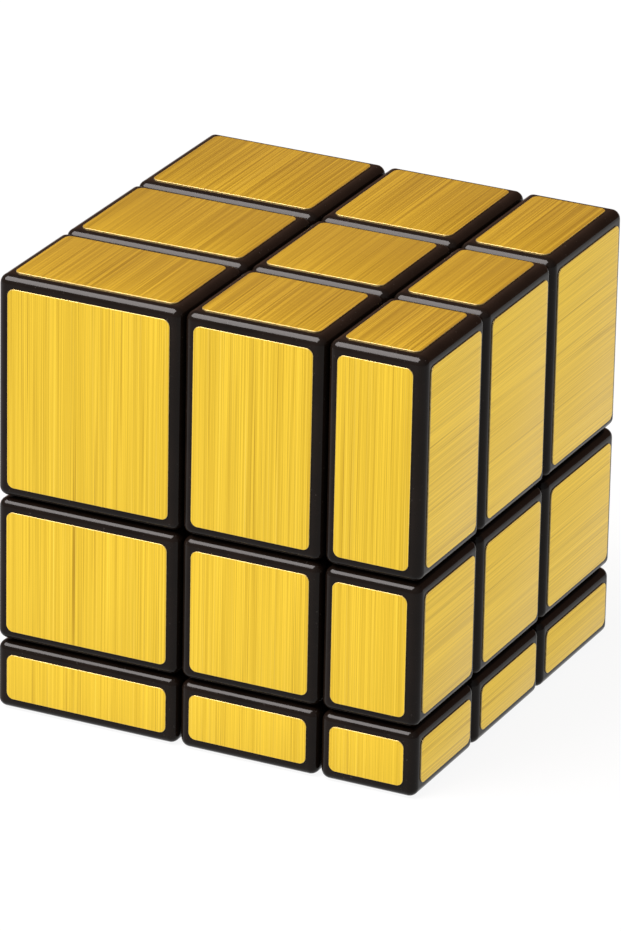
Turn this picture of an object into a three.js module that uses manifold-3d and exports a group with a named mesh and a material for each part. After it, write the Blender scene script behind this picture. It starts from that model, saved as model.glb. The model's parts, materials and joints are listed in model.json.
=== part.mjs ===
// Mirror block cube: a 3x3x3 turning puzzle whose blocks all have different sizes.
//
// The core centre is not the middle of the cube. All six cut planes lie the same distance from
// the core centre, so the mechanism inside is a regular one, and only the blocks outside it have
// different thicknesses. Every surface on which one layer turns past the rest is a surface of
// revolution about that layer's axis: a flat plane at the cut, a cone below it and a second
// plane at the bottom of the cone. The blocks' feet reach under their neighbours between them.
//
// Millimetres, +Z up, front face towards -Y. The origin is the middle of the bottom face.

import * as THREE from 'three';
import { mergeVertices } from 'three/addons/utils/BufferGeometryUtils.js';
import Module from 'manifold-3d';

const wasm = await Module();
wasm.setup();

// ---- Driving dimensions ------------------------------------------------------------------

const cubeSide = 57;
const cutDistance = 9.5;            // core centre to each of the six cut planes
const layerThickness = { right: 13, left: 25, back: 21, front: 17, top: 29, bottom: 9 };

const runningGap = 0.3;             // between pieces that slide on each other
const blockFillet = 1.2;
const filletSteps = 3;
const wall = 1.6;                   // of the hollow blocks

const footPlane = 5.5;              // core centre to the plane under a layer's feet
const footRadiusLow = 14.5;         // cone radius at the foot plane
const footRadiusHigh = 17;          // cone radius at the cut plane
const hollowRadius = 10.2;          // clear ball around the core, inside all feet
const footBallRadius = 20.5;        // feet end inside their blocks within this ball
const footBoxHalf = 17.2;
const turnSides = 24;               // facets of a surface on which a layer turns
const ballColumns = 16;
const ballRows = 12;

const hubHalf = 5.4;
const hubFillet = 1.8;
const armRadius = 3.8;
const armEnd = 8.2;
const threadHoleRadius = 1.5;
const threadHoleBottom = 3;
const armSides = 16;
const smallHoleSides = 12;

const seatBottom = 8.5;             // floor of a centre block, which turns on the core's arm
const seatTop = 10.5;
const seatHoleRadius = 1.8;
const springBoreRadius = 3.6;
const springBoreSides = 20;
const boreWall = 1.5;

const springBottom = 10.8;
const springTop = 14.6;
const springRadius = 2.4;           // to the middle of the wire
const wireRadius = 0.36;
const springTurns = 3.5;
const springStepsPerTurn = 8;
const wireSides = 6;

const washerBottom = 14.9;
const washerTop = 15.4;
const washerRadius = 3.2;
const washerHoleRadius = 1.6;
const washerSides = 14;

const headBottom = 15.7;
const headTop = 17.1;
const headRadius = 2.7;
const headCrown = 0.5;
const shankRadius = 1.2;
const shankEnd = 3.4;
const screwSides = 12;
const crossSlotLength = 3.4;
const crossSlotWidth = 0.7;
const crossSlotDepth = 0.8;

const capSide = 12;
const capCorner = 2;
const capThickness = 1.1;
const capSideGap = 0.15;
const capCornerSteps = 3;
const ventRadius = 1.1;
const ventSides = 8;

const beyond = 60;                  // further than any block reaches
const weldDistance = 1e-5;
const halfGap = runningGap / 2;

// ---- Materials -----------------------------------------------------------------------------

const blackPlastic = { color: 0x1b1917, roughness: 0.28, metalness: 0 };
const corePlastic = { color: 0xd9d6cd, roughness: 0.45, metalness: 0 };
const steel = { color: 0xb9bcc0, roughness: 0.3, metalness: 1 };

// ---- Solids --------------------------------------------------------------------------------

// A closed three.js geometry as a solid that can be cut and joined. Triangles that have no
// area because two of their corners are one point are left out.
function solid(geometry) {
  const bare = geometry.clone();
  bare.deleteAttribute('normal');
  bare.deleteAttribute('uv');
  const welded = mergeVertices(bare, weldDistance);
  const corners = welded.index.array;
  const triangles = [];
  for (let i = 0; i < corners.length; i += 3) {
    const [a, b, c] = corners.slice(i, i + 3);
    if (a !== b && b !== c && c !== a) {
      triangles.push(a, b, c);
    }
  }
  const mesh = new wasm.Mesh({
    numProp: 3,
    vertProperties: new Float32Array(welded.attributes.position.array),
    triVerts: new Uint32Array(triangles),
  });
  return new wasm.Manifold(mesh);
}

function geometryOf(body) {
  const { vertProperties, triVerts } = body.getMesh();
  const geometry = new THREE.BufferGeometry();
  geometry.setAttribute('position', new THREE.BufferAttribute(new Float32Array(vertProperties), 3));
  geometry.setIndex(new THREE.BufferAttribute(new Uint32Array(triVerts), 1));
  return geometry;
}

function box(low, high) {
  const size = high.map((value, axis) => value - low[axis]);
  const middle = high.map((value, axis) => (value + low[axis]) / 2);
  return new THREE.BoxGeometry(...size).translate(...middle);
}

// A box with every edge and corner rounded: a ball whose eighths are moved apart to the box's
// corners, so that the strips between them become its flat sides and its rounded edges.
function roundedBox(low, high, fillet, steps) {
  const columns = 4 * (steps + 1);
  const rows = 2 * steps + 3;
  const geometry = new THREE.SphereGeometry(1, columns, rows);
  const points = geometry.attributes.position;
  for (let i = 0; i < points.count; i += 1) {
    const column = (i % (columns + 1)) % columns;
    const row = Math.floor(i / (columns + 1));
    const quarter = Math.floor(column / (steps + 1));
    const lower = row > steps + 1;
    const turn = (quarter + (column % (steps + 1)) / steps) * Math.PI / 2;
    const tilt = ((row - (lower ? 2 : 1)) / steps) * Math.PI / 2;
    const corner = [
      quarter === 0 || quarter === 3 ? high[0] - fillet : low[0] + fillet,
      quarter < 2 ? high[1] - fillet : low[1] + fillet,
      lower ? low[2] + fillet : high[2] - fillet,
    ];
    const outward = [Math.sin(tilt) * Math.cos(turn), Math.sin(tilt) * Math.sin(turn), Math.cos(tilt)];
    points.setXYZ(i, ...corner.map((value, axis) => value + fillet * outward[axis]));
    if (row === 0 || row === rows) {
      points.setXYZ(i, (low[0] + high[0]) / 2, (low[1] + high[1]) / 2, lower ? low[2] : high[2]);
    }
  }
  return geometry;
}

// A solid of revolution about +Z from [radius, height] points, closed on the axis.
function turned(profile, sides = turnSides) {
  const points = profile.map(([radius, height]) => new THREE.Vector2(radius, height));
  return new THREE.LatheGeometry(points, sides).rotateX(Math.PI / 2);
}

function rod(radius, bottom, top, sides) {
  return turned([[0, bottom], [radius, bottom], [radius, top], [0, top]], sides);
}

const up = new THREE.Vector3(0, 0, 1);

function alongDirection(geometry, direction) {
  const towards = new THREE.Vector3(...direction).normalize();
  return geometry.applyQuaternion(new THREE.Quaternion().setFromUnitVectors(up, towards));
}

// ---- Faces and layers ----------------------------------------------------------------------

const faces = {
  right: { axis: 0, side: 1 },
  left: { axis: 0, side: -1 },
  back: { axis: 1, side: 1 },
  front: { axis: 1, side: -1 },
  top: { axis: 2, side: 1 },
  bottom: { axis: 2, side: -1 },
};

for (const [name, face] of Object.entries(faces)) {
  face.direction = [0, 0, 0];
  face.direction[face.axis] = face.side;
  face.outside = cutDistance + layerThickness[name];
}

// The space of a whole layer, widened or narrowed by half the running gap: all that lies
// beyond the cut plane, and the cone of feet below it.
function layerSpace(direction, spread) {
  const profile = [
    [0, footPlane - spread],
    [footRadiusLow + spread, footPlane - spread],
    [footRadiusHigh + spread, cutDistance - spread],
    [beyond, cutDistance - spread],
    [beyond, beyond],
    [0, beyond],
  ];
  return solid(alongDirection(turned(profile), direction));
}

for (const face of Object.values(faces)) {
  face.ownSpace = layerSpace(face.direction, -halfGap);
  face.sweptSpace = layerSpace(face.direction, halfGap);
}

const footBall = solid(new THREE.SphereGeometry(footBallRadius, ballColumns, ballRows));
const footBoxCorner = [footBoxHalf, footBoxHalf, footBoxHalf];
const footBox = solid(box(footBoxCorner.map((value) => -value), footBoxCorner));
const footSpace = footBall.intersect(footBox);
const coreSpace = solid(new THREE.SphereGeometry(hollowRadius, ballColumns, ballRows));

// The lowest and highest corner of the block that lies in the layers of the given faces.
function cell(members) {
  const low = [0, 0, 0].map(() => -cutDistance + halfGap);
  const high = [0, 0, 0].map(() => cutDistance - halfGap);
  for (const face of members) {
    const near = cutDistance + halfGap;
    low[face.axis] = face.side > 0 ? near : -face.outside;
    high[face.axis] = face.side > 0 ? face.outside : -near;
  }
  return { low, high };
}

// ---- Blocks --------------------------------------------------------------------------------

// An edge or corner block: a rounded block, hollow inside, with a foot that reaches under its
// neighbours, and a moulding hole through the foot into the hollow.
function outerBlock(members) {
  const { low, high } = cell(members);
  let foot = footSpace;
  for (const face of members) {
    foot = foot.intersect(face.ownSpace);
  }
  let block = solid(roundedBox(low, high, blockFillet, filletSteps)).add(foot);
  for (const face of Object.values(faces)) {
    if (!members.some((member) => member.axis === face.axis)) {
      block = block.subtract(face.sweptSpace);
    }
  }
  block = block.subtract(coreSpace);

  const inside = (value, axis, step) => {
    const member = members.find((face) => face.axis === axis);
    return member ? value + step * wall : step * -footPlane;
  };
  const hollowLow = low.map((value, axis) => inside(value, axis, 1));
  const hollowHigh = high.map((value, axis) => inside(value, axis, -1));
  block = block.subtract(solid(box(hollowLow, hollowHigh)));

  const diagonal = [0, 1, 2].map((axis) => members.find((face) => face.axis === axis)?.side ?? 0);
  const hollowCorner = (cutDistance + halfGap + wall) * Math.sqrt(members.length);
  const vent = rod(ventRadius, 0, hollowCorner + ventRadius, ventSides);
  return geometryOf(block.subtract(solid(alongDirection(vent, diagonal))));
}

// A centre block along +Z: it turns on the core's arm, held down by the spring in its bore.
function centreBlock(outside) {
  const across = cutDistance - halfGap;
  const stemHalf = footPlane - halfGap;
  const blockBox = roundedBox(
    [-across, -across, cutDistance + halfGap],
    [across, across, outside],
    blockFillet,
    filletSteps,
  );
  const stem = box([-stemHalf, -stemHalf, seatBottom], [stemHalf, stemHalf, seatTop + wall]);
  let block = solid(blockBox).add(solid(stem));
  for (const face of Object.values(faces)) {
    if (face.axis !== 2) {
      block = block.subtract(face.sweptSpace);
    }
  }

  const pocketDepth = capThickness + runningGap;
  const pocket = capOutline(capSide + 2 * capSideGap, pocketDepth + 1);
  block = block.subtract(solid(rod(springBoreRadius, seatTop, outside + 1, springBoreSides)));
  block = block.subtract(solid(rod(seatHoleRadius, 0, seatTop + 1, smallHoleSides)));
  block = block.subtract(solid(pocket.translate(0, 0, outside - pocketDepth)));

  const hollowBottom = footRadiusLow + wall;
  const hollowTop = outside - pocketDepth - wall;
  if (hollowTop - hollowBottom > wall) {
    const hollowHalf = across - wall;
    const hollow = box([-hollowHalf, -hollowHalf, hollowBottom], [hollowHalf, hollowHalf, hollowTop]);
    const boreTube = rod(springBoreRadius + boreWall, 0, outside, armSides);
    const vent = rod(ventRadius / 2, 0, hollowHalf - wall / 2, ventSides);
    const ventHeight = (hollowBottom + hollowTop) / 2;
    block = block.subtract(solid(hollow).subtract(solid(boreTube)));
    block = block.subtract(solid(alongDirection(vent, [1, 0, 0]).translate(0, 0, ventHeight)));
  }
  return geometryOf(block);
}

// ---- Cap, core and the parts of a tension set -----------------------------------------------

// A square plate with round corners, lying on Z = 0.
function capOutline(side, depth) {
  const reach = side / 2 - capCorner;
  const outline = new THREE.Shape();
  const corners = [[1, -1, -90], [1, 1, 0], [-1, 1, 90], [-1, -1, 180]];
  for (const [x, y, start] of corners) {
    const from = THREE.MathUtils.degToRad(start);
    outline.absarc(x * reach, y * reach, capCorner, from, from + Math.PI / 2, false);
  }
  outline.closePath();
  return new THREE.ExtrudeGeometry(outline, { depth, bevelEnabled: false, curveSegments: capCornerSteps });
}

function core() {
  const corner = [hubHalf, hubHalf, hubHalf];
  let body = solid(roundedBox(corner.map((value) => -value), corner, hubFillet, filletSteps));
  for (const face of Object.values(faces)) {
    body = body.add(solid(alongDirection(rod(armRadius, 0, armEnd, armSides), face.direction)));
  }
  for (const face of Object.values(faces)) {
    const hole = rod(threadHoleRadius, threadHoleBottom, armEnd + 1, smallHoleSides);
    body = body.subtract(solid(alongDirection(hole, face.direction)));
  }
  return geometryOf(body);
}

function screw() {
  const profile = [
    [0, shankEnd],
    [shankRadius / 2, shankEnd],
    [shankRadius, shankEnd + shankRadius],
    [shankRadius, headBottom],
    [headRadius, headBottom],
    [headRadius, headTop - headCrown],
    [headRadius - headCrown, headTop],
    [0, headTop],
  ];
  const half = [crossSlotLength / 2, crossSlotWidth / 2];
  const slotFloor = headTop - crossSlotDepth;
  const slotAlong = box([-half[0], -half[1], slotFloor], [half[0], half[1], headTop + 1]);
  const slotAcross = box([-half[1], -half[0], slotFloor], [half[1], half[0], headTop + 1]);
  const body = solid(turned(profile, screwSides));
  return geometryOf(body.subtract(solid(slotAlong).add(solid(slotAcross))));
}

function washer() {
  const profile = [
    [washerHoleRadius, washerBottom],
    [washerRadius, washerBottom],
    [washerRadius, washerTop],
    [washerHoleRadius, washerTop],
    [washerHoleRadius, washerBottom],
  ];
  return turned(profile, washerSides);
}

class SpringLine extends THREE.Curve {
  getPoint(t, target = new THREE.Vector3()) {
    const angle = t * springTurns * 2 * Math.PI;
    const bottom = springBottom + wireRadius;
    const top = springTop - wireRadius;
    return target.set(
      springRadius * Math.cos(angle),
      springRadius * Math.sin(angle),
      bottom + (top - bottom) * t,
    );
  }
}

function spring() {
  const section = new THREE.Shape();
  section.absarc(0, 0, wireRadius, 0, 2 * Math.PI, false);
  return new THREE.ExtrudeGeometry(section, {
    extrudePath: new SpringLine(),
    steps: Math.round(springTurns * springStepsPerTurn),
    curveSegments: wireSides / 2,
    bevelEnabled: false,
  });
}

// ---- Assembly ------------------------------------------------------------------------------

function piece(name, geometry, look) {
  const mesh = new THREE.Mesh(geometry, new THREE.MeshStandardMaterial(look));
  mesh.name = name;
  return mesh;
}

const cube = new THREE.Group();
cube.position.set(
  cubeSide / 2 - faces.right.outside,
  cubeSide / 2 - faces.back.outside,
  faces.bottom.outside,
);
cube.add(piece('core', core(), corePlastic));

// Along each of the six axes: the centre block with its cap, and the screw, washer and spring
// that hold it to the core.
for (const [name, face] of Object.entries(faces)) {
  const spindle = new THREE.Group();
  spindle.quaternion.setFromUnitVectors(up, new THREE.Vector3(...face.direction));
  const cap = piece(`cap_${name}`, capOutline(capSide, capThickness), blackPlastic);
  cap.position.z = face.outside - capThickness;
  spindle.add(
    piece(`centre_${name}`, centreBlock(face.outside), blackPlastic),
    cap,
    piece(`screw_${name}`, screw(), steel),
    piece(`washer_${name}`, washer(), steel),
    piece(`spring_${name}`, spring(), steel),
  );
  cube.add(spindle);
}

const columns = ['left', 'right'];
const rows = ['front', 'back'];
const levels = ['top', 'bottom'];

function addBlock(kind, names) {
  const members = names.map((name) => faces[name]);
  cube.add(piece([kind, ...names].join('_'), outerBlock(members), blackPlastic));
}

for (const level of levels) {
  for (const neighbour of [...rows, ...columns]) {
    addBlock('edge', [level, neighbour]);
  }
}
for (const row of rows) {
  for (const column of columns) {
    addBlock('edge', [row, column]);
  }
}
for (const level of levels) {
  for (const row of rows) {
    for (const column of columns) {
      addBlock('corner', [level, row, column]);
    }
  }
}

export default cube;
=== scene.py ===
"""Mirror block cube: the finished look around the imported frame.

Black blocks with fine fillets stand for the CAD blocks, 54 brushed gold films lie on their outer
faces, and screws, washers, springs and core get their real detail. Metres, +Z up, front towards -Y.
"""
import json
import math
import random

import bmesh
import bpy
from mathutils import Matrix, Quaternion, Vector


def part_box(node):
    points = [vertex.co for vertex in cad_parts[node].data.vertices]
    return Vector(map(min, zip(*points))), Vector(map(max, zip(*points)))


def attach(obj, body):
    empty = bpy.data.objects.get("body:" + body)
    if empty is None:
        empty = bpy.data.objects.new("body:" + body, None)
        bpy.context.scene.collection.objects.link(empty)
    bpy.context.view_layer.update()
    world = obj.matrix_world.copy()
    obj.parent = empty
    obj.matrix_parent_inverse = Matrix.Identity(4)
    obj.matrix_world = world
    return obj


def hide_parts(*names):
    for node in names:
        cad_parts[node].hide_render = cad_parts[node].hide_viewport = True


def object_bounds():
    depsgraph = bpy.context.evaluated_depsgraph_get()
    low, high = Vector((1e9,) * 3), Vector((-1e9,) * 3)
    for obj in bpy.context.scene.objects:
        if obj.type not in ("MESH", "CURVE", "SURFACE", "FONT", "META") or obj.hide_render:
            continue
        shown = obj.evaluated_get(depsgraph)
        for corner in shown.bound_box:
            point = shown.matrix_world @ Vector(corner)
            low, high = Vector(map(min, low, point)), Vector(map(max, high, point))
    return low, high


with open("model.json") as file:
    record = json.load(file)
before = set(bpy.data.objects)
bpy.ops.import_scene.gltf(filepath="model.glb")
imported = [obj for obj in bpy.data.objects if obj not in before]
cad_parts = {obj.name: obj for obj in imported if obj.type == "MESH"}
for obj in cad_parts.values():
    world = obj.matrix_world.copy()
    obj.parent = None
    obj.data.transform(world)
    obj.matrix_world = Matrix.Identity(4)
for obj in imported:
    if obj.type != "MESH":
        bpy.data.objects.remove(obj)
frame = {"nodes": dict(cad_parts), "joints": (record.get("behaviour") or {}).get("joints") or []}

cad_low, cad_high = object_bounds()

# ---- Sizes ---------------------------------------------------------------------------------------

MM = 0.001

CAMERA_AZIMUTH = 25.73
CAMERA_ELEVATION = 22.78
CAMERA_ROLL = 1.14
CAMERA_DISTANCE = 920.4 * MM
CAMERA_LENS = 288.96
CAMERA_SENSOR = 36.0
AIM_OFFSET = Vector((0.24, -0.35, -0.99)) * MM      # from the middle of the cube

RUNNING_GAP = 0.3 * MM
BLOCK_FILLET = 1.2 * MM
FILM_INSET_OUTER = 1.53 * MM
FILM_INSET_CUT = 1.43 * MM
FILM_CORNER = 0.9 * MM
FILM_THICKNESS = 0.13 * MM
FILM_EDGE = 0.04 * MM
FILM_SHIFT = 0.05 * MM
FILM_TURN = math.radians(0.12)

CORE_CENTRE = Vector(frame["joints"][0]["pos_m"])
middle_low, middle_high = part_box("centre_top")
MIDDLE_HALF = (middle_high.x - middle_low.x) / 2

SIDES = {
    "right": (0, 1),
    "left": (0, -1),
    "back": (1, 1),
    "front": (1, -1),
    "top": (2, 1),
    "bottom": (2, -1),
}

# the axis along which the film on each side is brushed
GRAIN_AXIS = {"right": 1, "left": 1, "back": 2, "front": 2, "top": 1, "bottom": 1}

chance = random.Random(57)


# ---- Camera --------------------------------------------------------------------------------------

def make_camera():
    azimuth = math.radians(CAMERA_AZIMUTH)
    elevation = math.radians(CAMERA_ELEVATION)
    back = Vector((
        math.sin(azimuth) * math.cos(elevation),
        -math.cos(azimuth) * math.cos(elevation),
        math.sin(elevation),
    ))
    data = bpy.data.cameras.new("camera")
    data.lens = CAMERA_LENS
    data.sensor_width = CAMERA_SENSOR
    data.clip_start = 0.05
    data.clip_end = 50
    camera = bpy.data.objects.new("camera", data)
    bpy.context.collection.objects.link(camera)
    camera.rotation_mode = "QUATERNION"
    camera.location = (cad_low + cad_high) / 2 + AIM_OFFSET + back * CAMERA_DISTANCE
    level = (-back).to_track_quat("-Z", "Y")
    camera.rotation_quaternion = level @ Quaternion((0, 0, 1), math.radians(CAMERA_ROLL))
    bpy.context.scene.camera = camera


# ---- Node helpers --------------------------------------------------------------------------------

class Nodes:
    """A short way to write a material's node tree."""

    def __init__(self, name):
        self.material = bpy.data.materials.new(name)
        self.material.use_nodes = True
        self.tree = self.material.node_tree
        self.tree.nodes.clear()
        self.shader = self.tree.nodes.new("ShaderNodeBsdfPrincipled")
        output = self.tree.nodes.new("ShaderNodeOutputMaterial")
        self.link(self.shader.outputs["BSDF"], output.inputs["Surface"])

    def link(self, source, target):
        self.tree.links.new(source, target)

    def node(self, kind, inputs=None, **settings):
        made = self.tree.nodes.new(kind)
        for name, value in settings.items():
            setattr(made, name, value)
        for name, value in (inputs or {}).items():
            if isinstance(value, bpy.types.NodeSocket):
                self.link(value, made.inputs[name])
            else:
                made.inputs[name].default_value = value
        return made

    def place(self, scale=(1, 1, 1), offset=(0, 0, 0)):
        """The point on the piece, in the row frame at rest, in metres, then scaled."""
        point = self.node("ShaderNodeTexCoord").outputs["Object"]
        mapping = self.node("ShaderNodeMapping", {"Vector": point, "Scale": scale, "Location": offset})
        return mapping.outputs["Vector"]

    def y_coordinate(self):
        """The Y coordinate of the point on the piece, in metres."""
        return self.node("ShaderNodeSeparateXYZ", {0: self.place()}).outputs["Y"]

    def noise(self, vector, detail=2.0, roughness=0.5):
        made = self.node("ShaderNodeTexNoise", {
            "Vector": vector, "Scale": 1.0, "Detail": detail, "Roughness": roughness,
        })
        return made.outputs["Fac"]

    def math(self, operation, first, second):
        return self.node("ShaderNodeMath", {0: first, 1: second}, operation=operation).outputs[0]

    def spread(self, value, low, high, to_low=0.0, to_high=1.0):
        """value from the range low..high, stretched to to_low..to_high and held there."""
        made = self.node("ShaderNodeMapRange", {
            "Value": value, "From Min": low, "From Max": high, "To Min": to_low, "To Max": to_high,
        })
        return made.outputs["Result"]

    def mix(self, factor, first, second):
        made = self.node("ShaderNodeMix", data_type="RGBA")
        sockets = (made.inputs[0], made.inputs[6], made.inputs[7])
        for socket, value in zip(sockets, (factor, first, second)):
            if isinstance(value, bpy.types.NodeSocket):
                self.link(value, socket)
            else:
                socket.default_value = value
        return made.outputs[2]

    def bump(self, height, distance, strength=1.0, below=None):
        inputs = {"Height": height, "Distance": distance, "Strength": strength}
        if below is not None:
            inputs["Normal"] = below
        return self.node("ShaderNodeBump", inputs).outputs["Normal"]

    def finish(self, color=None, roughness=None, normal=None):
        if color is not None:
            self.link(color, self.shader.inputs["Base Color"])
        if roughness is not None:
            self.link(roughness, self.shader.inputs["Roughness"])
        if normal is not None:
            self.link(normal, self.shader.inputs["Normal"])
        return self.material


def rgb(red, green, blue):
    return (red, green, blue, 1.0)


# ---- Materials -----------------------------------------------------------------------------------

FILM_DARK = rgb(0.66, 0.43, 0.030)
FILM_LIGHT = rgb(0.84, 0.575, 0.047)
FILM_DARK_LINE = rgb(0.36, 0.20, 0.012)
FILM_BRIGHT_LINE = rgb(0.95, 0.72, 0.15)
FILM_CLOUD = rgb(0.72, 0.46, 0.036)
DARK_LINE_STRENGTH = 0.72
BRIGHT_LINE_STRENGTH = 0.25
CLOUD_STRENGTH = 0.10


def gold_film(grain_axis):
    """Metallised film, brushed along one axis: fine streaks, dark lines in bundles, a few bright ones."""
    nodes = Nodes(f"gold_film_{'xyz'[grain_axis]}")

    def along(across_mm, length_mm, offset=0.0):
        scale = [1 / (across_mm * MM)] * 3
        scale[grain_axis] = 1 / (length_mm * MM)
        return nodes.place(scale, (offset, offset * 1.7, offset * 2.3))

    hair = nodes.noise(along(0.125, 60), detail=1, roughness=0.6)
    strand = nodes.noise(along(0.34, 90, 11), detail=1)
    band = nodes.noise(along(2.6, 120, 23), detail=1)
    bundle = nodes.spread(nodes.noise(along(1.5, 70, 67)), 0.42, 0.62, 0.15, 1.0)
    dark_line = nodes.spread(nodes.noise(along(0.13, 34, 37), detail=1), 0.57, 0.70)
    dark_line = nodes.math("MULTIPLY", dark_line, bundle)
    bright_line = nodes.spread(nodes.noise(along(0.14, 40, 53), detail=1), 0.62, 0.76)
    cloud = nodes.noise(nodes.place([1 / (14 * MM)] * 3, (3, 5, 7)), detail=2)

    fine = nodes.math("ADD", nodes.math("MULTIPLY", hair, 0.72), nodes.math("MULTIPLY", strand, 0.28))
    tone = nodes.math("ADD", nodes.math("MULTIPLY", fine, 0.92), nodes.math("MULTIPLY", band, 0.08))
    color = nodes.mix(nodes.spread(tone, 0.40, 0.60), FILM_DARK, FILM_LIGHT)
    color = nodes.mix(nodes.math("MULTIPLY", dark_line, DARK_LINE_STRENGTH), color, FILM_DARK_LINE)
    color = nodes.mix(nodes.math("MULTIPLY", bright_line, BRIGHT_LINE_STRENGTH), color, FILM_BRIGHT_LINE)
    color = nodes.mix(nodes.spread(cloud, 0.3, 0.7, 0.0, CLOUD_STRENGTH), color, FILM_CLOUD)

    roughness = nodes.spread(fine, 0.35, 0.65, 0.31, 0.37)
    height = nodes.math("SUBTRACT", nodes.math("ADD", fine, bright_line), dark_line)
    nodes.shader.inputs["Metallic"].default_value = 0.96
    nodes.shader.inputs["Anisotropic"].default_value = 0.55
    nodes.shader.inputs["Coat Weight"].default_value = 0.1
    nodes.shader.inputs["Coat Roughness"].default_value = 0.3
    tangent = nodes.node("ShaderNodeTangent", direction_type="UV_MAP", uv_map="grain")
    nodes.link(tangent.outputs["Tangent"], nodes.shader.inputs["Tangent"])
    return nodes.finish(color, roughness, nodes.bump(height, 0.005 * MM, 0.2))


def film_edge():
    """The cut edge of the film: duller and less yellow than the brushed face."""
    nodes = Nodes("film_edge")
    nick = nodes.noise(nodes.place([1 / (0.5 * MM)] * 3, (6, 2, 8)), detail=2, roughness=0.6)
    color = nodes.mix(nodes.spread(nick, 0.35, 0.65), rgb(0.42, 0.31, 0.12), rgb(0.58, 0.45, 0.19))
    roughness = nodes.spread(nick, 0.35, 0.65, 0.42, 0.56)
    nodes.shader.inputs["Metallic"].default_value = 1.0
    return nodes.finish(color, roughness, nodes.bump(nick, 0.01 * MM, 0.4))


def core_distance(nodes):
    """Distance from the core centre: on every cut face its rings are the circles of a turning layer."""
    point = nodes.place((1, 1, 1), tuple(-CORE_CENTRE))
    return nodes.node("ShaderNodeVectorMath", {0: point}, operation="LENGTH").outputs["Value"]


# Black is the plastic's own colour; the warm tint in both the clean and the smudged colour is a painted
# reflection.
PLASTIC_CLEAN_PAINTED_WARM_REFLECTION = rgb(0.0036, 0.0022, 0.0015)
PLASTIC_SMUDGED_PAINTED_WARM_REFLECTION = rgb(0.0066, 0.0039, 0.0027)
PLASTIC_DUST = rgb(0.20, 0.18, 0.16)


def black_plastic(name, rough_low, rough_high):
    """Glossy moulded black plastic, its colour tinted warm by a painted reflection: soft waviness,
    handling marks and faint turning marks.
    """
    nodes = Nodes(name)
    wave = nodes.noise(nodes.place([1 / (3.4 * MM)] * 3), detail=1.5, roughness=0.45)
    skin = nodes.noise(nodes.place([1 / (0.22 * MM)] * 3, (4, 8, 15)), detail=2)
    smudge = nodes.noise(nodes.place([1 / (7 * MM)] * 3, (16, 23, 42)), detail=4, roughness=0.62)
    dust_place = nodes.noise(nodes.place([1 / (0.35 * MM)] * 3, (9, 2, 6)), detail=1)
    dust = nodes.spread(dust_place, 0.72, 0.8)
    ring_point = nodes.node("ShaderNodeCombineXYZ", {
        0: nodes.math("MULTIPLY", core_distance(nodes), 1 / (0.28 * MM)),
    }).outputs["Vector"]
    ring = nodes.noise(ring_point, detail=2, roughness=0.7)
    ring_mark = nodes.spread(ring, 0.58, 0.78)

    # both colours carry the painted warm reflection; the smudges themselves are real handling marks
    color = nodes.mix(nodes.spread(smudge, 0.35, 0.7), PLASTIC_CLEAN_PAINTED_WARM_REFLECTION, PLASTIC_SMUDGED_PAINTED_WARM_REFLECTION)
    color = nodes.mix(nodes.math("MULTIPLY", dust, 0.08), color, PLASTIC_DUST)
    roughness = nodes.spread(smudge, 0.3, 0.75, rough_low, rough_high)
    roughness = nodes.math("ADD", roughness, nodes.math("MULTIPLY", ring_mark, 0.05))
    roughness = nodes.math("ADD", roughness, nodes.math("MULTIPLY", dust, 0.1))
    broad = nodes.bump(wave, 0.09 * MM, 0.35)
    fine = nodes.bump(skin, 0.004 * MM, 0.5, broad)
    fine = nodes.bump(ring_mark, 0.003 * MM, 0.4, fine)
    nodes.shader.inputs["Specular IOR Level"].default_value = 0.12
    return nodes.finish(color, roughness, fine)


def core_plastic():
    """Natural nylon: a little mottled, with a soft sheen and a fine moulded grain."""
    nodes = Nodes("core_plastic")
    mottle = nodes.noise(nodes.place([1 / (2.5 * MM)] * 3), detail=3)
    grain = nodes.noise(nodes.place([1 / (0.18 * MM)] * 3, (5, 1, 9)), detail=2)
    color = nodes.mix(nodes.spread(mottle, 0.3, 0.7), rgb(0.45, 0.43, 0.37), rgb(0.54, 0.52, 0.46))
    roughness = nodes.spread(mottle, 0.3, 0.7, 0.38, 0.5)
    nodes.shader.inputs["Subsurface Weight"].default_value = 0.12
    nodes.shader.inputs["Subsurface Radius"].default_value = (1.2 * MM, 1.0 * MM, 0.8 * MM)
    nodes.shader.inputs["Subsurface Scale"].default_value = 1.0
    return nodes.finish(color, roughness, nodes.bump(grain, 0.01 * MM, 0.4))


def steel(name, dark, light, rough_low, rough_high):
    """Plated or drawn steel: clouded plating and fine scratches along one axis."""
    nodes = Nodes(name)
    cloud = nodes.noise(nodes.place([1 / (1.1 * MM)] * 3), detail=3, roughness=0.6)
    scratch_scale = (1 / (0.9 * MM), 1 / (0.07 * MM), 1 / (0.07 * MM))
    scratch = nodes.noise(nodes.place(scratch_scale, (2, 4, 6)), detail=2)
    spot = nodes.spread(nodes.noise(nodes.place([1 / (0.4 * MM)] * 3, (7, 7, 1))), 0.66, 0.74)
    color = nodes.mix(nodes.spread(cloud, 0.32, 0.68), dark, light)
    color = nodes.mix(nodes.math("MULTIPLY", spot, 0.35), color, rgb(0.22, 0.20, 0.18))
    roughness = nodes.spread(scratch, 0.35, 0.65, rough_low, rough_high)
    nodes.shader.inputs["Metallic"].default_value = 1.0
    return nodes.finish(color, roughness, nodes.bump(scratch, 0.006 * MM, 0.5))


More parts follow.
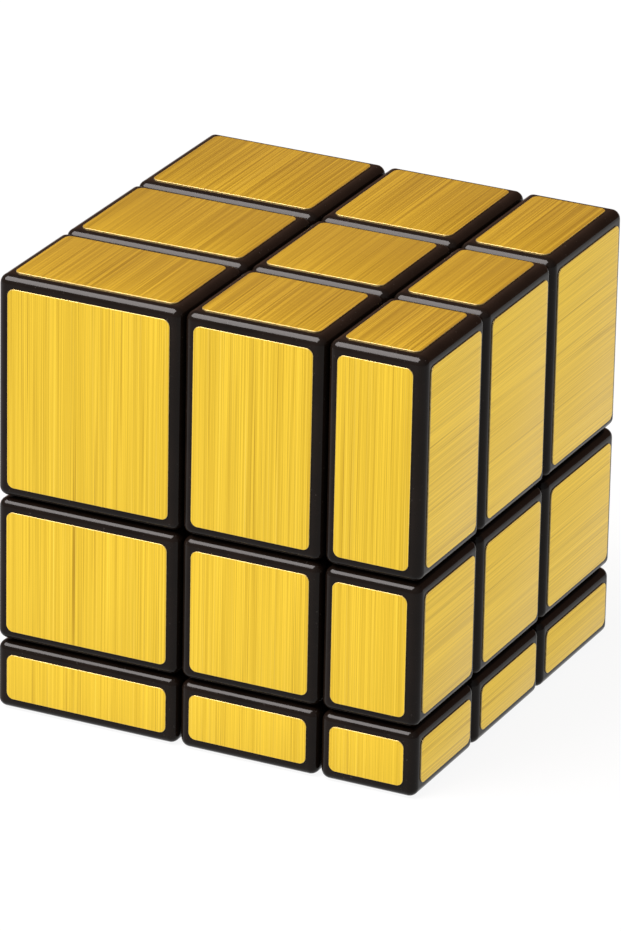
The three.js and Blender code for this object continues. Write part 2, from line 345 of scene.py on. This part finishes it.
MATERIALS = {
    "block": black_plastic("black_plastic", 0.10, 0.17),
    "cap": black_plastic("cap_plastic", 0.3, 0.42),
    "core": core_plastic(),
    "zinc": steel("zinc_steel", rgb(0.52, 0.53, 0.55), rgb(0.68, 0.69, 0.71), 0.2, 0.36),
    "wire": steel("spring_wire", rgb(0.42, 0.42, 0.44), rgb(0.58, 0.58, 0.60), 0.16, 0.3),
    "film_edge": film_edge(),
    "film": {axis: gold_film(axis) for axis in sorted(set(GRAIN_AXIS.values()))},
}


# ---- Mesh helpers --------------------------------------------------------------------------------

SHARP_ANGLE = math.radians(38)
FLAT_FACE_WEIGHT = 90


def new_piece(name, mesh_builder, material, body):
    """Puts a bmesh into the scene as a smooth-shaded piece that rides on a body."""
    mesh = bpy.data.meshes.new(name)
    for edge in mesh_builder.edges:
        edge.smooth = edge.calc_face_angle(math.pi) < SHARP_ANGLE
    for face in mesh_builder.faces:
        face.smooth = True
    mesh_builder.to_mesh(mesh)
    mesh_builder.free()
    mesh.materials.append(material)
    piece = bpy.data.objects.new(name, mesh)
    bpy.context.collection.objects.link(piece)
    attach(piece, body)
    return piece


def keep_flats_flat(piece):
    """Shades broad faces flat and lets only the narrow rounds between them turn the light."""
    weighted = piece.modifiers.new("flat_faces", "WEIGHTED_NORMAL")
    weighted.mode = "FACE_AREA"
    weighted.weight = FLAT_FACE_WEIGHT
    weighted.keep_sharp = True


def lathe(profile, steps, closed=False):
    """A bmesh turned about Z from (radius, height) points; radius 0 is a point on the axis."""
    made = bmesh.new()
    rings = []
    for radius, height in profile:
        if radius == 0:
            rings.append([made.verts.new((0, 0, height))])
            continue
        ring = []
        for step in range(steps):
            angle = 2 * math.pi * step / steps
            ring.append(made.verts.new((radius * math.cos(angle), radius * math.sin(angle), height)))
        rings.append(ring)
    pairs = list(zip(rings, rings[1:] + rings[:1])) if closed else list(zip(rings, rings[1:]))
    for lower, upper in pairs:
        for step in range(steps):
            following = (step + 1) % steps
            corners = [lower[step % len(lower)], lower[following % len(lower)],
                       upper[following % len(upper)], upper[step % len(upper)]]
            distinct = list(dict.fromkeys(corners))
            if len(distinct) > 2:
                made.faces.new(distinct)
    bmesh.ops.recalc_face_normals(made, faces=made.faces)
    return made


def side_direction(side):
    axis, sign = SIDES[side]
    direction = Vector((0, 0, 0))
    direction[axis] = sign
    return direction


def spindle_matrix(side):
    """From a piece built along +Z about the origin to the side's axis through the core centre."""
    turn = Vector((0, 0, 1)).rotation_difference(side_direction(side))
    return Matrix.Translation(CORE_CENTRE) @ turn.to_matrix().to_4x4()


# ---- Blocks --------------------------------------------------------------------------------------

WELD_DISTANCE = 0.0005 * MM
FLAT_ANGLE = math.radians(0.5)      # faces closer in direction than this are one flat face
ARC_ANGLE = math.radians(5)         # the least turn of an edge that runs round a fillet
ROUND_TOLERANCE = 0.003 * MM
NEARLY_ROUND = 0.9                  # of the fillet: new points on its chords lie outside this


def cell_range(axis, sign):
    """Where a block of the layer on that side (sign 0: the middle one) lies along an axis."""
    centre = CORE_CENTRE[axis]
    if sign == 0:
        return centre - MIDDLE_HALF, centre + MIDDLE_HALF
    near = centre + sign * (MIDDLE_HALF + RUNNING_GAP)
    far = cad_high[axis] if sign > 0 else cad_low[axis]
    return min(near, far), max(near, far)


def block_cell(sides):
    signs = [0, 0, 0]
    for side in sides:
        axis, sign = SIDES[side]
        signs[axis] = sign
    ranges = [cell_range(axis, sign) for axis, sign in enumerate(signs)]
    return Vector([low for low, high in ranges]), Vector([high for low, high in ranges])


def fillet_offset(point, low, high):
    """The nearest point of the box shrunk by the fillet, and the way from there to the point."""
    core = Vector([
        min(max(point[i], low[i] + BLOCK_FILLET), high[i] - BLOCK_FILLET) for i in range(3)
    ])
    return core, point - core


def refined_block(node, sides, body):
    """The CAD block with its flat faces whole and its fillets twice as fine."""
    low, high = block_cell(sides)
    made = bmesh.new()
    made.from_mesh(frame["nodes"][node].data)
    bmesh.ops.remove_doubles(made, verts=made.verts, dist=WELD_DISTANCE)
    bmesh.ops.dissolve_limit(made, angle_limit=FLAT_ANGLE, verts=made.verts, edges=made.edges)

    def on_round(vert):
        offset = fillet_offset(vert.co, low, high)[1]
        return abs(offset.length - BLOCK_FILLET) < ROUND_TOLERANCE

    arcs = []
    for edge in made.edges:
        first, second = edge.verts
        if on_round(first) and on_round(second):
            turn = fillet_offset(first.co, low, high)[1].angle(fillet_offset(second.co, low, high)[1])
            if turn > ARC_ANGLE:
                arcs.append(edge)
    bmesh.ops.subdivide_edges(made, edges=arcs, cuts=1, use_grid_fill=True)
    for vert in made.verts:
        core, offset = fillet_offset(vert.co, low, high)
        if NEARLY_ROUND * BLOCK_FILLET < offset.length < BLOCK_FILLET + ROUND_TOLERANCE:
            vert.co = core + offset.normalized() * BLOCK_FILLET
    piece = new_piece(f"{node}_block", made, MATERIALS["block"], body)
    keep_flats_flat(piece)
    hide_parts(node)


# ---- Films ---------------------------------------------------------------------------------------

CORNER_STEPS = 8
EDGE_STEPS = 3
FACE_SHARE = 0.98           # of a film's faces, those that look outwards at least this much are brushed
SAME_PLACE = 0.1 * MM


def film_outline(low, high, corner, shrink):
    """A rectangle with round corners, counter-clockwise, moved inwards by shrink."""
    points = []
    radius = corner - shrink
    for quarter, (x, y) in enumerate(((1, 1), (0, 1), (0, 0), (1, 0))):
        centre_x = high[0] - corner if x else low[0] + corner
        centre_y = high[1] - corner if y else low[1] + corner
        for step in range(CORNER_STEPS + 1):
            angle = math.pi / 2 * (quarter + step / CORNER_STEPS)
            points.append((centre_x + radius * math.cos(angle), centre_y + radius * math.sin(angle)))
    return points


def film_body(low, high):
    """A thin film lying on Z = 0 with its upper edge rolled over."""
    levels = [(0.0, 0.0), (0.0, FILM_THICKNESS - FILM_EDGE)]
    for step in range(1, EDGE_STEPS + 1):
        angle = math.pi / 2 * step / EDGE_STEPS
        shrink = FILM_EDGE * (1 - math.cos(angle))
        levels.append((shrink, FILM_THICKNESS - FILM_EDGE * (1 - math.sin(angle))))
    made = bmesh.new()
    rings = []
    for shrink, height in levels:
        outline = film_outline(low, high, FILM_CORNER, shrink)
        rings.append([made.verts.new((x, y, height)) for x, y in outline])
    for lower, upper in zip(rings, rings[1:]):
        count = len(lower)
        for i in range(count):
            j = (i + 1) % count
            made.faces.new((lower[i], lower[j], upper[j], upper[i]))
    made.faces.new(rings[-1])
    made.faces.new(list(reversed(rings[0])))
    return made


def film_inset(block_edge, cube_edge):
    """How far the film stays back from an edge, which is the cube's own or one along a cut."""
    return FILM_INSET_OUTER if abs(block_edge - cube_edge) < SAME_PLACE else FILM_INSET_CUT


def film_placement(side, across, middle):
    """From a film built on Z = 0 about the origin to its place on the side of the cube."""
    axis, sign = SIDES[side]
    place = Matrix.Identity(4)
    origin = Vector((0, 0, 0))
    for row in range(3):
        for column, u in enumerate(across):
            place[row][column] = 1 if row == u else 0
        place[row][2] = sign if row == axis else 0
    for column, u in enumerate(across):
        origin[u] = middle[column]
    origin[axis] = cad_high[axis] if sign > 0 else cad_low[axis]
    return Matrix.Translation(origin) @ place


def add_film(node, sides, side, body):
    """The film on one outer face of a block, inset from its edges and laid on by hand."""
    low, high = block_cell(sides)
    axis, sign = SIDES[side]
    across = [(axis + 1) % 3, (axis + 2) % 3]
    if sign < 0:
        across.reverse()
    film_low, film_high = [], []
    for u in across:
        film_low.append(low[u] + film_inset(low[u], cad_low[u]))
        film_high.append(high[u] - film_inset(high[u], cad_high[u]))
    middle = [(a + b) / 2 for a, b in zip(film_low, film_high)]
    half = [(b - a) / 2 for a, b in zip(film_low, film_high)]
    made = film_body([-value for value in half], half)
    shift = Vector((chance.uniform(-1, 1), chance.uniform(-1, 1), 0)) * FILM_SHIFT
    turn = Matrix.Rotation(chance.uniform(-1, 1) * FILM_TURN, 4, "Z")
    made.transform(Matrix.Translation(shift) @ turn)
    made.transform(film_placement(side, across, middle))
    grain_map = made.loops.layers.uv.new("grain")
    grain = GRAIN_AXIS[side]
    cross = next(u for u in across if u != grain)
    for face in made.faces:
        for loop in face.loops:
            loop[grain_map].uv = (loop.vert.co[grain] / MM, loop.vert.co[cross] / MM)
    made.normal_update()
    face_direction = side_direction(side)
    for face in made.faces:
        face.material_index = 0 if face.normal.dot(face_direction) > FACE_SHARE else 1
    film = new_piece(f"film_{node}_{side}", made, MATERIALS["film"][grain], body)
    film.data.materials.append(MATERIALS["film_edge"])


# ---- Parts along the six spindles ------------------------------------------------------------------

HEAD_STEPS = 40
WIRE_RADIUS = 0.36 * MM
COIL_RADIUS = 2.4 * MM
CLOSED_TURNS = 0.9                  # at each end of the spring
OPEN_TURNS = 2.4
CLOSED_RISE = 0.62 * MM
COIL_STEPS = 32                     # in one turn
WIRE_STEPS = 12

WASHER_OUTER = 3.2 * MM
WASHER_INNER = 1.6 * MM
WASHER_RIM = 0.08 * MM

THREAD_PITCH = 0.8 * MM
THREAD_DEPTH = 0.22 * MM
THREAD_ROWS = 8                     # in one pitch
THREAD_STEPS = 24
CREST_STEEPNESS = 3.2
POINT_LENGTH = 1.6 * MM
POINT_SHARE = 0.35                  # of the radius, at the very tip
PLAIN_LENGTH = 1.6 * MM
SHANK_RADIUS = 1.2 * MM
SHANK_OVERLAP = 0.02 * MM

HEAD_HEIGHT = 1.4 * MM
HEAD_CHAMFER = 0.1 * MM
HEAD_CROWN = 0.55 * MM
CROWN_STEPS = 5
RECESS_DEPTH = 0.95 * MM
RECESS_HALF = 1.5 * MM
RECESS_TAPER = 0.45                 # how much of its width the recess keeps at the bottom
RECESS_OVERCUT = 0.2 * MM
BLADE_HALF = 0.34 * MM
BOX_QUADS = ((0, 1, 2, 3), (7, 6, 5, 4), (0, 4, 5, 1), (1, 5, 6, 2), (2, 6, 7, 3), (3, 7, 4, 0))


def local_box(node, side):
    """A CAD node's box in the spindle's own frame, in which the side looks along +Z."""
    low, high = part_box(node)
    back = spindle_matrix(side).inverted()
    corners = [back @ Vector((x, y, z)) for x in (low.x, high.x) for y in (low.y, high.y)
               for z in (low.z, high.z)]
    least = Vector([min(corner[i] for corner in corners) for i in range(3)])
    most = Vector([max(corner[i] for corner in corners) for i in range(3)])
    return least, most


def add_spring(side):
    """A compression spring with a closed coil at each end."""
    node = f"spring_{side}"
    low, high = local_box(node, side)
    bottom, top = low.z + WIRE_RADIUS, high.z - WIRE_RADIUS
    turns = 2 * CLOSED_TURNS + OPEN_TURNS
    steps = int(turns * COIL_STEPS)
    made = bmesh.new()
    rings = []
    for step in range(steps + 1):
        turn = turns * step / steps
        if turn < CLOSED_TURNS:
            height = bottom + CLOSED_RISE * turn / CLOSED_TURNS
        elif turn > turns - CLOSED_TURNS:
            height = top - CLOSED_RISE * (turns - turn) / CLOSED_TURNS
        else:
            share = (turn - CLOSED_TURNS) / OPEN_TURNS
            height = bottom + CLOSED_RISE + (top - bottom - 2 * CLOSED_RISE) * share
        angle = 2 * math.pi * turn
        outward = Vector((math.cos(angle), math.sin(angle), 0))
        centre = outward * COIL_RADIUS + Vector((0, 0, height))
        ring = []
        for i in range(WIRE_STEPS):
            around = 2 * math.pi * i / WIRE_STEPS
            reach = outward * math.cos(around) + Vector((0, 0, 1)) * math.sin(around)
            ring.append(made.verts.new(centre + reach * WIRE_RADIUS))
        rings.append(ring)
    for lower, upper in zip(rings, rings[1:]):
        for i in range(WIRE_STEPS):
            j = (i + 1) % WIRE_STEPS
            made.faces.new((lower[i], lower[j], upper[j], upper[i]))
    made.faces.new(rings[0])
    made.faces.new(rings[-1])
    bmesh.ops.recalc_face_normals(made, faces=made.faces)
    made.transform(spindle_matrix(side))
    piece = new_piece(f"{node}_wire", made, MATERIALS["wire"], "core")
    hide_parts(node)


def add_washer(side):
    """A flat washer with slightly rounded rims."""
    node = f"washer_{side}"
    low, high = local_box(node, side)
    outer, inner, rim = WASHER_OUTER, WASHER_INNER, WASHER_RIM
    profile = [
        (inner, low.z + rim), (inner + rim, low.z), (outer - rim, low.z), (outer, low.z + rim),
        (outer, high.z - rim), (outer - rim, high.z), (inner + rim, high.z), (inner, high.z - rim),
    ]
    made = lathe(profile, HEAD_STEPS, closed=True)
    made.transform(spindle_matrix(side))
    piece = new_piece(f"{node}_ring", made, MATERIALS["zinc"], "core")
    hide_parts(node)


def screw_thread(bottom, top):
    """The threaded shank: its radius rises and falls along a helix, and it ends in a point."""
    rows = int((top - bottom) / THREAD_PITCH * THREAD_ROWS)
    made = bmesh.new()
    rings = []
    for row in range(rows + 1):
        height = bottom + (top - bottom) * row / rows
        ring = []
        taper = min(1.0, POINT_SHARE + (height - bottom) / POINT_LENGTH)
        plain = height > top - PLAIN_LENGTH
        for step in range(THREAD_STEPS):
            phase = (height / THREAD_PITCH - step / THREAD_STEPS) % 1
            crest = 0 if plain else max(0.0, 1 - abs(phase - 0.5) * CREST_STEEPNESS)
            reach = (SHANK_RADIUS - THREAD_DEPTH + THREAD_DEPTH * crest) * taper
            angle = 2 * math.pi * step / THREAD_STEPS
            ring.append(made.verts.new((reach * math.cos(angle), reach * math.sin(angle), height)))
        rings.append(ring)
    for lower, upper in zip(rings, rings[1:]):
        for step in range(THREAD_STEPS):
            following = (step + 1) % THREAD_STEPS
            made.faces.new((lower[step], lower[following], upper[following], upper[step]))
    made.faces.new(list(reversed(rings[0])))
    made.faces.new(rings[-1])
    return made


def mesh_of(made, name):
    """Turns a bmesh into a mesh, and frees it."""
    mesh = bpy.data.meshes.new(name)
    made.to_mesh(mesh)
    made.free()
    return mesh


def screw_head(radius, bottom, top):
    """A pan head with a rounded crown."""
    profile = [
        (0, bottom), (radius - HEAD_CHAMFER, bottom), (radius, bottom + HEAD_CHAMFER),
        (radius, top - HEAD_CROWN),
    ]
    for step in range(1, CROWN_STEPS + 1):
        angle = math.pi / 2 * step / CROWN_STEPS
        inwards = HEAD_CROWN * (1 - math.cos(angle))
        below = HEAD_CROWN * (1 - math.sin(angle))
        profile.append((radius - inwards, top - below))
    profile.append((0, top))
    return lathe(profile, HEAD_STEPS)


def cross_recess(top):
    """Two crossed blades that narrow downwards, to cut the recess for the screwdriver."""
    cutter = bmesh.new()
    levels = ((top + RECESS_OVERCUT, RECESS_HALF), (top - RECESS_DEPTH, RECESS_HALF * RECESS_TAPER))
    for quarter in range(2):
        turn = Matrix.Rotation(quarter * math.pi / 2, 4, "Z")
        verts = []
        for height, half in levels:
            for x, y in ((-1, -1), (1, -1), (1, 1), (-1, 1)):
                verts.append(cutter.verts.new(turn @ Vector((x * half, y * BLADE_HALF, height))))
        for quad in BOX_QUADS:
            cutter.faces.new([verts[i] for i in quad])
    bmesh.ops.recalc_face_normals(cutter, faces=cutter.faces)
    return cutter


def add_screw(side):
    """A pan-head screw with a cross recess and a thread that it cuts into the core's arm."""
    node = f"screw_{side}"
    low, high = local_box(node, side)
    head_bottom = high.z - HEAD_HEIGHT
    head = mesh_of(screw_head((high.x - low.x) / 2, head_bottom, high.z), "screw_head")
    cross = mesh_of(cross_recess(high.z), "screw_cross")
    head_object = bpy.data.objects.new("screw_head", head)
    cross_object = bpy.data.objects.new("screw_cross", cross)
    for made_object in (head_object, cross_object):
        bpy.context.collection.objects.link(made_object)
    cut = head_object.modifiers.new("recess", "BOOLEAN")
    cut.operation = "DIFFERENCE"
    cut.object = cross_object
    cut.solver = "EXACT"
    cut.use_self = True
    depsgraph = bpy.context.evaluated_depsgraph_get()
    whole = bmesh.new()
    whole.from_mesh(head_object.evaluated_get(depsgraph).to_mesh())
    shank = mesh_of(screw_thread(low.z, head_bottom + SHANK_OVERLAP), "screw_shank")
    whole.from_mesh(shank)
    for made_object in (head_object, cross_object):
        bpy.data.objects.remove(made_object)
    for mesh in (head, cross, shank):
        bpy.data.meshes.remove(mesh)
    whole.transform(spindle_matrix(side))
    piece = new_piece(f"{node}_threaded", whole, MATERIALS["zinc"], "core")
    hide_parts(node)


# ---- Assembly ------------------------------------------------------------------------------------

def block_sides(node):
    return [side for side in node.split("_")[1:] if side in SIDES]


def body_of_block(node):
    kind, *sides = node.split("_")
    return f"{sides[0]}_centre" if kind == "centre" else node


def dress_cad_node(name, material):
    """A CAD part that keeps its shape: a material, and smooth shading up to its sharp edges."""
    part = frame["nodes"][name]
    part.data.materials.clear()
    part.data.materials.append(material)
    part.data.shade_smooth()
    part.data.set_sharp_from_angle(angle=SHARP_ANGLE)


make_camera()

for node in sorted(frame["nodes"]):
    kind = node.split("_")[0]
    if kind in ("centre", "edge", "corner"):
        sides = block_sides(node)
        body = body_of_block(node)
        refined_block(node, sides, body)
        for side in sides:
            add_film(node, sides, side, body)
    elif kind == "cap":
        dress_cad_node(node, MATERIALS["cap"])
    elif kind == "core":
        dress_cad_node(node, MATERIALS["core"])

for side in SIDES:
    add_spring(side)
    add_washer(side)
    add_screw(side)


# ---- Studio --------------------------------------------------------------------------------------

FLOOR_HALF = 4.0
FLOOR_GAP = 0.02 * MM
FLOOR_GLOW_NEAR = 0.72
FLOOR_GLOW_FAR = 0.92
FLOOR_NEAR_Y = -0.25
FLOOR_FAR_Y = -0.07
WORLD_FRONT = (0.52, 0.53, 0.54)
WORLD_BACK = (0.29, 0.165, 0.12)
WORLD_FRONT_Y = -0.6                # of a unit direction: from here to the front it is all front
WORLD_BACK_Y = 0.8

SOFTBOX_COLOR = (1.0, 0.94, 0.93)
SOFTBOX_AZIMUTH = -40
SOFTBOX_ELEVATION = 56
SOFTBOX_DISTANCE = 1.1
SOFTBOX_SIZE = 0.8
SOFTBOX_RADIANCE = 21


def make_floor():
    """A pale table that glows by itself, less so well in front of the cube: it takes almost no shadow."""
    low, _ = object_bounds()
    made = bmesh.new()
    corners = [(-FLOOR_HALF, -FLOOR_HALF), (FLOOR_HALF, -FLOOR_HALF),
               (FLOOR_HALF, FLOOR_HALF), (-FLOOR_HALF, FLOOR_HALF)]
    made.faces.new([made.verts.new((x, y, low.z - FLOOR_GAP)) for x, y in corners])
    mesh = bpy.data.meshes.new("floor")
    made.to_mesh(mesh)
    made.free()
    nodes = Nodes("white_table")
    nodes.shader.inputs["Base Color"].default_value = rgb(0.04, 0.04, 0.04)
    nodes.shader.inputs["Roughness"].default_value = 0.8
    nodes.shader.inputs["Specular IOR Level"].default_value = 0.1
    nodes.shader.inputs["Emission Color"].default_value = rgb(1, 1, 1)
    glow = nodes.spread(
        nodes.y_coordinate(), FLOOR_NEAR_Y, FLOOR_FAR_Y, FLOOR_GLOW_NEAR, FLOOR_GLOW_FAR)
    nodes.link(glow, nodes.shader.inputs["Emission Strength"])
    mesh.materials.append(nodes.material)
    floor = bpy.data.objects.new("floor", mesh)
    bpy.context.collection.objects.link(floor)


def add_softbox():
    """A large square light that looks at the cube from the front left, high up."""
    azimuth, elevation = math.radians(SOFTBOX_AZIMUTH), math.radians(SOFTBOX_ELEVATION)
    away = Vector((
        math.sin(azimuth) * math.cos(elevation),
        -math.cos(azimuth) * math.cos(elevation),
        math.sin(elevation),
    ))
    data = bpy.data.lights.new("overhead_softbox", "AREA")
    data.shape = "SQUARE"
    data.size = SOFTBOX_SIZE
    data.energy = SOFTBOX_RADIANCE * math.pi * SOFTBOX_SIZE ** 2
    data.color = SOFTBOX_COLOR
    light = bpy.data.objects.new("overhead_softbox", data)
    bpy.context.collection.objects.link(light)
    light.rotation_mode = "QUATERNION"
    light.location = (cad_low + cad_high) / 2 + away * SOFTBOX_DISTANCE
    light.rotation_quaternion = (-away).to_track_quat("-Z", "Y")


def make_world():
    """The studio room: grey in front of the cube, dark and warm behind it."""
    world = bpy.data.worlds.new("studio")
    world.use_nodes = True
    tree = world.node_tree
    tree.nodes.clear()
    output = tree.nodes.new("ShaderNodeOutputWorld")
    background = tree.nodes.new("ShaderNodeBackground")
    direction = tree.nodes.new("ShaderNodeTexCoord")
    split = tree.nodes.new("ShaderNodeSeparateXYZ")
    share = tree.nodes.new("ShaderNodeMapRange")
    share.inputs["From Min"].default_value = WORLD_FRONT_Y
    share.inputs["From Max"].default_value = WORLD_BACK_Y
    blend = tree.nodes.new("ShaderNodeMix")
    blend.data_type = "RGBA"
    blend.inputs[6].default_value = rgb(*WORLD_FRONT)
    blend.inputs[7].default_value = rgb(*WORLD_BACK)
    tree.links.new(direction.outputs["Generated"], split.inputs[0])
    tree.links.new(split.outputs["Y"], share.inputs["Value"])
    tree.links.new(share.outputs["Result"], blend.inputs[0])
    tree.links.new(blend.outputs[2], background.inputs["Color"])
    tree.links.new(background.outputs[0], output.inputs["Surface"])
    bpy.context.scene.world = world


make_floor()
make_world()
add_softbox()
bpy.context.scene.view_settings.view_transform = "Standard"
